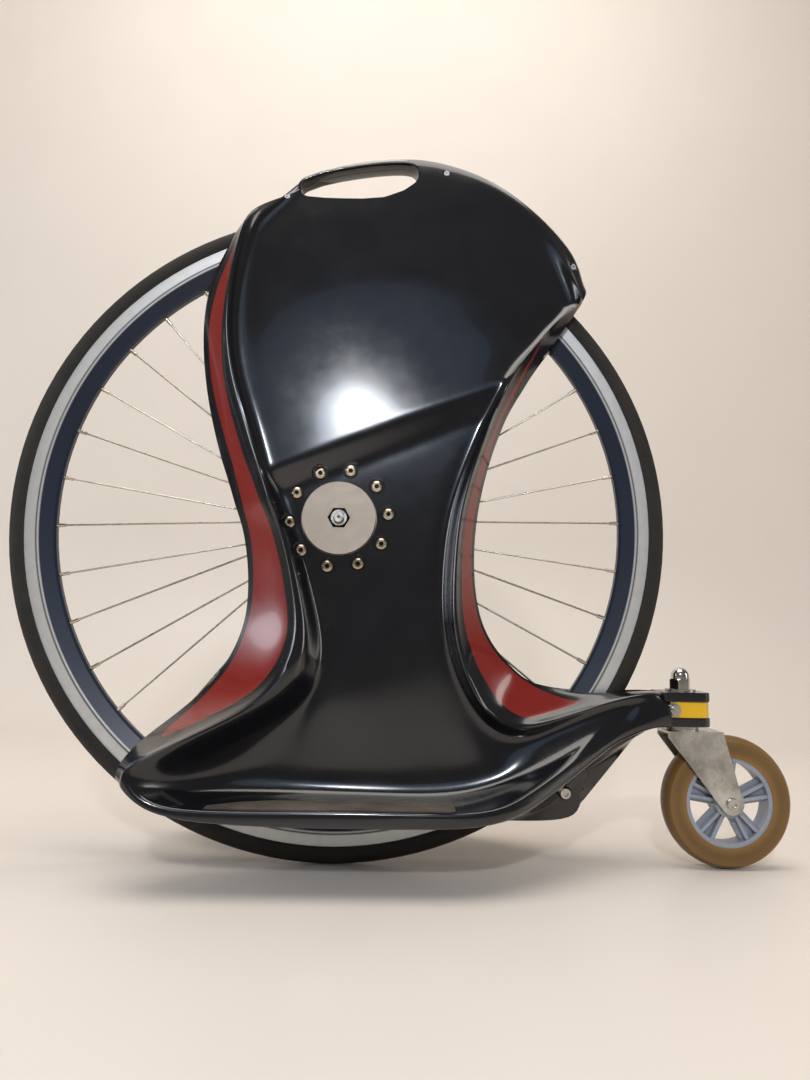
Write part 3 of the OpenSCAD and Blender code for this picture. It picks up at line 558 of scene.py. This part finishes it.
def nut_with_painted_shade():
    """Bright top face, with painted shade on the flats and against the thread."""
    s = Shader("nut_painted_shade", Metallic=1.0)
    radius = s.math("DIVIDE", s.radius(AXLE), FASTENER_RAMP)
    # Painted shade: near-black within 5.3 mm and beyond 7.4 mm of the axle, leaving the top face bright.
    outside_painted_shade = s.ramp(radius, (0.53, 0.0), (0.56, 1.0), (0.74, 1.0), (0.79, 0.0))
    bright = s.mix(s.noise(70.0, 4.0), (0.46, 0.44, 0.40), (0.66, 0.64, 0.60))
    s.link(s.mix(outside_painted_shade, (0.012, 0.011, 0.010), bright), "Base_Color")
    steel_grain(s, 0.20, 0.36)
    return s.material


def rim_paint():
    """Satin blue-black body with bare machined brake tracks, and a black wear line near their inner edge."""
    s = Shader("rim_paint")
    radius = s.radius(AXLE)
    place = s.math("DIVIDE", radius, WHEEL_RAMP)
    track = s.ramp(place, (0.7602, 0.0), (0.7606, 1.0))
    line = s.ramp(place, (0.7650, 0.0), (0.7655, 1.0), (0.7688, 1.0), (0.7693, 0.0))
    cloud = s.noise(11.0, 3.0)
    body = s.mix(cloud, (0.006, 0.011, 0.026), (0.013, 0.023, 0.046))
    bare = s.mix(s.noise(90.0, 4.0), (0.54, 0.54, 0.53), (0.70, 0.70, 0.69))
    marked = s.mix(line, bare, (0.01, 0.01, 0.012))
    s.link(s.mix(track, body, marked), "Base_Color")
    s.link(s.mix(track, (0.26, 0.26, 0.26), (0.38, 0.38, 0.38)), "Roughness")
    s.link(s.math("MULTIPLY", s.math("MULTIPLY", track, s.math("SUBTRACT", 1.0, line)), 0.55), "Metallic")
    rings = s.math("MULTIPLY", s.math("SINE", s.math("MULTIPLY", radius, 11000.0)), track)
    s.bump(rings, 0.08, 0.0001)
    return s.material


def road_rubber():
    """Matte slick tyre: fine radial ribs on the flanks, a scuffed tread and dry brown dust."""
    s = Shader("road_rubber", Specular_IOR_Level=0.35)
    ribs = s.math("SINE", s.math("MULTIPLY", s.turn(AXLE), 720.0))
    flank = s.ramp(s.math("DIVIDE", s.radius(AXLE), WHEEL_RAMP), (0.800, 1.0), (0.826, 0.0))
    dust = s.noise(38.0, 6.0, 0.7)
    dusty = s.ramp(dust, (0.35, 0.0), (0.8, 1.0))
    s.link(s.mix(dusty, (0.009, 0.008, 0.007), (0.030, 0.025, 0.020)), "Base_Color")
    s.link(s.ramp(dust, (0.3, 0.62), (0.8, 0.84)), "Roughness")
    relief = s.math("ADD", s.math("MULTIPLY", s.math("MULTIPLY", ribs, flank), 0.5), s.noise(900.0, 2.0))
    s.bump(relief, 0.35, 0.0003)
    return s.material


def grip_tape():
    """Coarse brown grit, paler where it is worn."""
    s = Shader("grip_tape", Specular_IOR_Level=0.3)
    grit = s.noise(1500.0, 2.0, 0.8)
    worn = s.noise(16.0, 5.0, 0.7)
    colour = s.mix(s.ramp(worn, (0.3, 0.0), (0.75, 1.0)), (0.040, 0.034, 0.028), (0.145, 0.120, 0.095))
    s.link(s.mix(s.ramp(grit, (0.62, 0.0), (0.72, 0.6)), colour, (0.30, 0.27, 0.23)), "Base_Color")
    s.link(s.ramp(worn, (0.3, 0.92), (0.8, 0.68)), "Roughness")
    s.bump(grit, 0.8, 0.0006)
    return s.material


def zinc_plate():
    """Dulled zinc with yellowish bloom and dark spots."""
    s = Shader("zinc_plate", Metallic=0.92)
    bloom = s.ramp(s.noise(34.0, 6.0, 0.72), (0.50, 0.0), (0.72, 0.55))
    dulled = s.ramp(s.noise(26.0, 5.0, 0.65), (0.32, 0.0), (0.66, 1.0))
    base = s.mix(dulled, (0.26, 0.25, 0.23), (0.66, 0.65, 0.62))
    stained = s.mix(bloom, base, (0.34, 0.28, 0.17))
    spots = s.ramp(s.noise(150.0, 5.0, 0.8), (0.63, 0.0), (0.74, 0.75))
    s.link(s.mix(spots, stained, (0.11, 0.09, 0.065)), "Base_Color")
    s.link(s.ramp(s.noise(60.0, 5.0), (0.3, 0.20), (0.75, 0.44)), "Roughness")
    s.bump(s.noise(420.0, 4.0, 0.7), 0.22, 0.0003)
    return s.material


def plastic(name, low, high, rough, grain=0.12):
    s = Shader(name)
    s.link(s.mix(s.noise(40.0, 4.0), low, high), "Base_Color")
    s.link(s.ramp(s.noise(88.0, 4.0), (0.3, rough), (0.75, rough + 0.14)), "Roughness")
    s.bump(s.noise(800.0, 3.0), grain, 0.0002)
    return s.material


def amber_urethane():
    """Cloudy amber tyre, darker towards the tread, with wear marks round it."""
    s = Shader("amber_urethane", Subsurface_Weight=0.30, Subsurface_Scale=0.006, IOR=1.49)
    s.set("Subsurface_Radius", (1.0, 0.55, 0.2))
    radius = s.math("DIVIDE", s.radius(CASTER), CASTER_RAMP)
    depth = s.ramp(radius, (0.44, 0.0), (0.52, 0.75), (0.60, 0.4), (0.65, 1.0))
    cloud = s.noise(30.0, 5.0)
    pale = s.mix(cloud, (0.215, 0.118, 0.030), (0.300, 0.170, 0.048))
    deep = s.mix(cloud, (0.092, 0.048, 0.012), (0.150, 0.080, 0.021))
    s.link(s.mix(depth, pale, deep), "Base_Color")
    s.link(s.ramp(s.noise(80.0, 5.0), (0.3, 0.26), (0.75, 0.46)), "Roughness")
    s.bump(s.noise(240.0, 4.0), 0.10, 0.0003)
    return s.material


SHELL = gloss_shell()
FASTENER = steel("fastener_stainless", (0.62, 0.60, 0.56), 0.20, 0.38)
FINISHES = {
    "tyre": road_rubber(),
    "inner_tube": plastic("tube_rubber", (0.010, 0.010, 0.010), (0.020, 0.020, 0.020), 0.7),
    "rim": rim_paint(),
    "rim_tape": plastic("tape_rubber", (0.030, 0.030, 0.040), (0.055, 0.055, 0.070), 0.7),
    "spokes": steel("spoke_stainless", (0.56, 0.52, 0.45), 0.22, 0.40),
    "nipples": steel("nipple_nickel", (0.70, 0.63, 0.50), 0.18, 0.34),
    "valve": steel("valve_nickel", (0.68, 0.64, 0.55), 0.20, 0.36),
    "wheel_hub": plastic("hub_anodised", (0.012, 0.012, 0.014), (0.024, 0.024, 0.028), 0.32),
    "hub_bearings": steel("bearing_ground", (0.52, 0.52, 0.52), 0.24, 0.36),
    "axle": FASTENER,
    "axle_spacers": FASTENER,
    "axle_nuts": nut_with_painted_shade(),
    "hub_plate_right": turned_alloy(),
    "hub_bolts_right": button_heads(),
    "grip_right": grip_tape(),
    "cap_screws": FASTENER,
    "corner_bolt": FASTENER,
    "arm_core": plastic("yellow_moulding", (0.72, 0.42, 0.010), (0.86, 0.54, 0.022), 0.26, grain=0.08),
    "arm_bolt": FASTENER,
    "arm_bolt_washers": steel("washer_steel", (0.55, 0.54, 0.51), 0.26, 0.44),
    "swivel_stem": FASTENER,
    "stem_washer": steel("stem_washer_steel", (0.52, 0.51, 0.48), 0.28, 0.46),
    "dome_nut": steel("nut_chrome", (0.74, 0.72, 0.68), 0.07, 0.18),
    "swivel_bearing": zinc_plate(),
    "caster_axle": FASTENER,
    "caster_bearings": steel("caster_bearing_steel", (0.30, 0.30, 0.30), 0.30, 0.50),
    "caster_core": plastic("core_moulding", (0.275, 0.310, 0.375), (0.370, 0.405, 0.465), 0.34),
    "caster_tyre": amber_urethane(),
}
FINISHES["hub_plate_left"] = FINISHES["hub_plate_right"]
FINISHES["hub_bolts_left"] = FINISHES["hub_bolts_right"]
FINISHES["grip_left"] = FINISHES["grip_right"]
FINISHES["caster_fork"] = FINISHES["swivel_bearing"]
# Width in millimetres of the eased edges on the pieces whose real edges catch the light.
EASED = {
    "axle_nuts": 0.25, "hub_plate_right": 0.35, "hub_plate_left": 0.35, "hub_bolts_right": 0.2,
    "hub_bolts_left": 0.2, "cap_screws": 0.15, "corner_bolt": 0.3, "arm_core": 0.9, "arm_bolt": 0.25,
    "arm_bolt_washers": 0.2, "stem_washer": 0.3, "dome_nut": 0.3, "caster_fork": 0.5, "caster_axle": 0.25,
    "caster_core": 0.5, "caster_tyre": 0.9, "grip_right": 0.3, "grip_left": 0.3, "swivel_bearing": 0.4,
}

for node, material in FINISHES.items():
    part = NODES[node]
    part.data.materials.clear()
    part.data.materials.append(material)
    if node in EASED:
        ease_edges(part, EASED[node])

# ---------------------------------------------------------------- the two shell halves

# The step of the mesh, in rows and in columns of the net.
MESH_STEP = 0.2
# Edges sharper than this many degrees are shaded sharp.
SHARP = 26
# The flashes: (row, first column, last column), pointed at both ends.
FRONT_FLASH = [
    (4.2, 2.6, 2.6), (5, 1.8, 3.1), (6, 1.25, 2.8), (7, 1.2, 2.5), (8, 1.35, 2.4), (9.5, 1.4, 2.5),
    (12, 1.15, 2.6), (14, 0.9, 2.75), (16, 0.55, 2.85), (18, 0.65, 2.7), (19, 0.85, 2.4), (20, 1.2, 2.15),
    (20.8, 1.7, 1.7),
]
REAR_FLASH = [
    (6.3, 13.9, 13.9), (7, 13.95, 14.3), (8, 14.65, 15.05), (10, 15.0, 15.6), (12, 14.95, 15.75),
    (14, 14.65, 16.05), (16, 14.6, 16.35), (18, 14.6, 16.7), (19, 14.4, 16.7), (20, 14.1, 16.1),
    (21.1, 15.3, 15.3),
]
# A vertex nearer than this, in metres, to where it was before the cut is the same vertex.
SAME_PLACE = 0.01 * MM

# The screws along the top and the bolt at the lower rear corner, as (x, height) in millimetres from the axle.
CAP_SCREWS = [(-67.6, 348.8), (102.5, 383.4), (239.7, 282.4)]
CORNER = (227.2, -261.8)
# Cutters and bosses turned about Y: rings of (radius, depth from the middle plane) in millimetres.
# The hub's hole and the bolt seats open with a soft lip, as moulded ones do.
HUB_HOLE = [(37, 30), (37, 46.3), (37.5, 47), (38.6, 47.4), (38.6, 90)]
BOLT_SEAT = [(7.4, 44.6), (7.5, 45.5), (7.8, 45.9), (8.5, 46.3), (8.5, 90)]
CAP_SEAT = [(3.9, 8.5), (3.9, 40)]
CORNER_SEAT = [(6.8, 6), (6.8, 60)]
CAP_BOSS = [(2.1, PARTING), (4.8, PARTING), (4.8, 11.6), (2.1, 11.6)]
CORNER_BOSS = [
    (3.1, PARTING), (7.2, PARTING), (7.2, 20.2), (6.9, 20.9), (6.5, 21.0), (6.4, 20.5), (3.1, 20.5),
]
# The hand slot's cutter and the collar that lines it: (distance outside the slot's outline, depth).
SLOT_CUT = [(0, -1), (0, 10.5), (0.5, 12.2), (1.6, 13.6), (1.9, 40)]
SLOT_COLLAR = [(0, PARTING), (0, 11.4), (0.5, 12.3), (1.6, 12.5), (3, 12), (3, PARTING)]
# The grip strip's place in the footboard: its plan as (x, depth), and the heights that it is cut between.
GRIP_PLAN = [(-104, 110), (108, 110), (112, 106), (112, 74), (-50, 74), (-78, 82), (-104, 98)]
GRIP_HEIGHTS = (-262.8, -256)
# The two plates at the arm's end: root and tip as x, half the width, the corner's radius, and the heights.
ARM_ROOT, ARM_TIP, ARM_HALF, ARM_CORNER = 328, 376, 22.5, 11
UPPER_PLATE = (-172.4, -162.8)
LOWER_PLATE = (-196.8, -187.6)
# The hand slot is the outline round these discs: (x, height, radius) in millimetres from the axle.
SLOT_DISCS = [
    (-43, 361, 11), (-27, 363.5, 15.2), (-8, 366, 18), (12, 368.3, 20),
    (30, 371, 20.5), (46, 375.5, 18), (56, 379.5, 14.5), (61, 382, 11.5),
]


def flash_distance(us, vs):
    """The flash attribute at each row and column."""
    nudge = 0.1
    across = shell_surface(us, vs + nudge) - shell_surface(us, vs - nudge)
    pitch = np.linalg.norm(across, axis=2) / (2 * nudge)
    best = np.full((len(us), len(vs)), -FLASH_BASE)
    for flash in (FRONT_FLASH, REAR_FLASH):
        rows, first, last = np.array(flash).T
        low = np.interp(us, rows, first)[:, None]
        high = np.interp(us, rows, last)[:, None]
        inside = np.minimum(vs[None, :] - low, high - vs[None, :]) * pitch
        beyond = (us < rows[0]) | (us > rows[-1])
        inside[beyond] = -FLASH_BASE
        best = np.maximum(best, inside)
    return np.clip(best, -FLASH_BASE, FLASH_BASE) + FLASH_BASE


def skin_mesh(side, name, node):
    """The closed skin of one half, the points of its outer face, and the flash attribute at each of them."""
    us = np.arange(0, len(NET) - 1 + 0.01, MESH_STEP)
    vs = np.arange(0, NET.shape[1] - 1 + 0.01, MESH_STEP)
    outer, inner = shell_surface(us, vs), inner_surface(us, vs)
    nu, nv = len(us), len(vs)
    far = nu * nv
    faces = []
    for i in range(nu - 1):
        for j in range(nv - 1):
            a, b, c, d = i * nv + j, i * nv + j + 1, (i + 1) * nv + j + 1, (i + 1) * nv + j
            faces.append((a, b, c, d))
            faces.append((far + a, far + d, far + c, far + b))
    rim = list(range(nv))
    rim += [i * nv + nv - 1 for i in range(1, nu)]
    rim += [(nu - 1) * nv + j for j in range(nv - 2, -1, -1)]
    rim += [i * nv for i in range(nu - 2, 0, -1)]
    for a, b in zip(rim, rim[1:] + rim[:1]):
        faces.append((b, a, far + a, far + b))
    low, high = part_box(node)
    skin = np.clip(np.concatenate([to_row(outer, side), to_row(inner, side)]), tuple(low), tuple(high))
    made = new_object(name, skin, faces)
    return outward(made), skin[:far], flash_distance(us, vs).ravel()


def mark_flash(obj, points, depths):
    """Sets the flash attribute again on the vertices that the cut left in place, and nought on the others."""
    tree = KDTree(len(points))
    for i, point in enumerate(points):
        tree.insert(point, i)
    tree.balance()
    values = []
    for vertex in obj.data.vertices:
        _, i, away = tree.find(vertex.co)
        values.append(depths[i] if away < SAME_PLACE else 0.0)
    flash = obj.data.attributes.new("flash", "FLOAT", "POINT")
    flash.data.foreach_set("value", values)


def slot_outline(grow, count=96):
    """The convex outline round the slot's discs, as (x, height)."""
    cloud = []
    for x, z, r in SLOT_DISCS:
        for k in range(count):
            a = 2 * math.pi * k / count
            cloud.append((x + (r + grow) * math.cos(a), z + (r + grow) * math.sin(a)))
    cloud = sorted(set(cloud))

    def half(points):
        chain = []
        for p in points:
            while len(chain) > 1 and (
                (chain[-1][0] - chain[-2][0]) * (p[1] - chain[-2][1])
                - (chain[-1][1] - chain[-2][1]) * (p[0] - chain[-2][0])
            ) <= 0:
                chain.pop()
            chain.append(p)
        return chain[:-1]

    return half(cloud) + half(cloud[::-1])


def resampled(outline, count):
    """The outline as count points evenly spaced round it, from its front end."""
    points = np.array(outline + outline[:1])
    run = np.concatenate([[0], np.cumsum(np.linalg.norm(np.diff(points, axis=0), axis=1))])
    at = np.linspace(0, run[-1], count, endpoint=False)
    return np.column_stack([np.interp(at, run, points[:, 0]), np.interp(at, run, points[:, 1])])


def slot_layers(steps, side, count=120):
    """The slot's outline at each step, as layers for a prism."""
    layers = []
    for grow, depth in steps:
        ring = resampled(slot_outline(grow), count)
        layers.append([tuple(p) for p in to_row([(x, z, depth) for x, z in ring], side)])
    return layers


def face_centre(place):
    """The point of the middle plane at (x, height)."""
    return Vector((AXLE.x + place[0] * MM, 0.0, AXLE.z + place[1] * MM))


def turned(name, place, side, rings, segments=64):
    """A ring turned about Y through (x, height), from a closed list of (radius, depth)."""
    return lathe(name, [(r, side * d) for r, d in rings], face_centre(place), segments)


def seat(place, side, rings):
    """A cutter turned about Y, closed at both ends."""
    return turned("seat", place, side, [(0.0, rings[0][1]), *rings, (0.0, rings[-1][1])], 48)


def hub_bolt_places():
    turn = [math.radians(FIRST_BOLT + 360 / HUB_BOLTS * i) for i in range(HUB_BOLTS)]
    return [(HUB_PCD / 2 * math.cos(a), HUB_PCD / 2 * math.sin(a)) for a in turn]


def plan_prism(name, plan, heights, side):
    """A plan of (x, depth) raised between two heights."""
    layers = [[tuple(p) for p in to_row([(x, z, y) for x, y in plan], side)] for z in heights]
    return prism(name, layers)


def arm_plate(name, heights, side):
    plan = [(ARM_ROOT, PARTING), (ARM_TIP, PARTING)]
    for k in range(13):
        a = math.radians(90 * k / 12)
        plan.append(
            (ARM_TIP - ARM_CORNER + ARM_CORNER * math.cos(a), ARM_HALF - ARM_CORNER + ARM_CORNER * math.sin(a))
        )
    plan.append((ARM_ROOT, ARM_HALF))
    return ease_edges(plan_prism(name, plan, heights, side), 1.3, 3, 40)


def shell_half(side, name, node):
    skin, points, depths = skin_mesh(side, name, node)
    cutters = [seat((0, 0), side, HUB_HOLE)]
    cutters += [seat(place, side, BOLT_SEAT) for place in hub_bolt_places()]
    cutters += [seat(place, side, CAP_SEAT) for place in CAP_SCREWS]
    cutters.append(seat(CORNER, side, CORNER_SEAT))
    cutters.append(prism("slot_cutter", slot_layers(SLOT_CUT, side)))
    cutters.append(plan_prism("grip_cutter", GRIP_PLAN, GRIP_HEIGHTS, side))
    cut_out(skin, outward(join("cutters", cutters)))
    mark_flash(skin, points, depths)
    skin.data.shade_smooth()
    skin.data.set_sharp_from_angle(angle=math.radians(SHARP))
    parts = [
        arm_plate(name + "_arm_upper", UPPER_PLATE, side),
        arm_plate(name + "_arm_lower", LOWER_PLATE, side),
        turned(name + "_corner_boss", CORNER, side, CORNER_BOSS),
    ]
    for k, place in enumerate(CAP_SCREWS):
        parts.append(turned("%s_cap_boss_%d" % (name, k), place, side, CAP_BOSS))
    collar = slot_layers(SLOT_COLLAR, side)
    parts.append(prism(name + "_slot_collar", collar + collar[:1], closed=False))
    for piece in [skin, *parts]:
        piece.data.materials.clear()
        piece.data.materials.append(SHELL)
        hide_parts(node)
        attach(piece, "frame")


shell_half(-1, "moulding_right", "shell_right")
shell_half(1, "moulding_left", "shell_left")

# ---------------------------------------------------------------- camera, floor and light

# The photo's camera: the lens for a 36 mm sensor, then its place in metres and its directions, from the axle.
LENS = 26.02
CAMERA_PLACE = Vector((0.04025, -0.8017, -0.10916))
CAMERA_RIGHT = Vector((0.99915, -0.03507, 0.02146))
CAMERA_AHEAD = Vector((0.03232, 0.99256, 0.11739))
# Each light: name, place and aim in metres from the axle, size in metres, power in watts, colour.
LIGHTS = [
    ("key", (-0.05, -1.7, 0.80), (0, 0, 0), (0.13, 0.10), 10, (1.0, 0.97, 0.92)),
    ("key_halo", (-0.05, -1.75, 0.80), (0, 0, 0), (0.40, 0.34), 3, (0.55, 0.72, 1.0)),
    ("window", (0.1, -2.4, 1.3), (0, 0, 0.1), (2.1, 1.6), 4.5, (0.45, 0.65, 1.0)),
    ("overhead", (0.0, -0.2, 2.6), (0, 0.3, 0), (2.8, 2.2), 66, (1.0, 0.95, 0.89)),
    ("side_left", (-2.3, -0.5, 0.6), (0, 0, 0), (0.5, 1.8), 16, (0.86, 0.92, 1.0)),
    ("side_right", (2.4, -0.6, 0.4), (0, 0, 0), (0.4, 1.4), 8, (1.0, 0.95, 0.90)),
]


def area_light(name, place, aim, size, power, colour):
    light = bpy.data.objects.new(name, bpy.data.lights.new(name, "AREA"))
    light.data.shape = "ELLIPSE"
    light.data.size, light.data.size_y = size
    light.data.energy = power
    light.data.color = colour
    light.location = AXLE + Vector(place)
    light.rotation_euler = (Vector(aim) - Vector(place)).to_track_quat("-Z", "Y").to_euler()
    bpy.context.scene.collection.objects.link(light)


def studio():
    scene = bpy.context.scene
    camera = bpy.data.objects.new("camera", bpy.data.cameras.new("camera"))
    scene.collection.objects.link(camera)
    camera.data.sensor_width = 36
    camera.data.lens = LENS
    camera.data.dof.use_dof = False
    right = CAMERA_RIGHT.normalized()
    ahead = (CAMERA_AHEAD - CAMERA_AHEAD.dot(right) * right).normalized()
    up = right.cross(ahead)
    turn = Matrix((right, up, -ahead)).transposed().to_4x4()
    camera.matrix_world = Matrix.Translation(AXLE + CAMERA_PLACE) @ turn
    scene.camera = camera
    scene.view_settings.view_transform = "Standard"

    # A floor that curves up into a backdrop.
    near, back, bend, width, height = -6.0, 1.4, 0.5, 7.0, 5.0
    profile = [(near, 0.0)]
    for k in range(17):
        a = math.radians(90 * k / 16)
        profile.append((back - bend + bend * math.sin(a), bend - bend * math.cos(a)))
    profile.append((back, height))
    points = [(x, y, z) for y, z in profile for x in (-width, width)]
    faces = [(2 * k, 2 * k + 1, 2 * k + 3, 2 * k + 2) for k in range(len(profile) - 1)]
    floor = new_object("studio_floor", points, faces)
    s = Shader("studio_paint", Specular_IOR_Level=0.3)
    s.link(s.mix(s.noise(3.0, 3.0), (0.730, 0.668, 0.605), (0.770, 0.708, 0.645)), "Base_Color")
    s.link(s.ramp(s.noise(8.0, 4.0), (0.3, 0.34), (0.7, 0.46)), "Roughness")
    floor.data.materials.append(s.material)

    world = bpy.data.worlds.new("studio_world")
    scene.world = world
    world.use_nodes = True
    world.node_tree.nodes["Background"].inputs["Color"].default_value = (0.92, 0.88, 0.84, 1)
    world.node_tree.nodes["Background"].inputs["Strength"].default_value = 0.16

    for light in LIGHTS:
        area_light(*light)


studio()
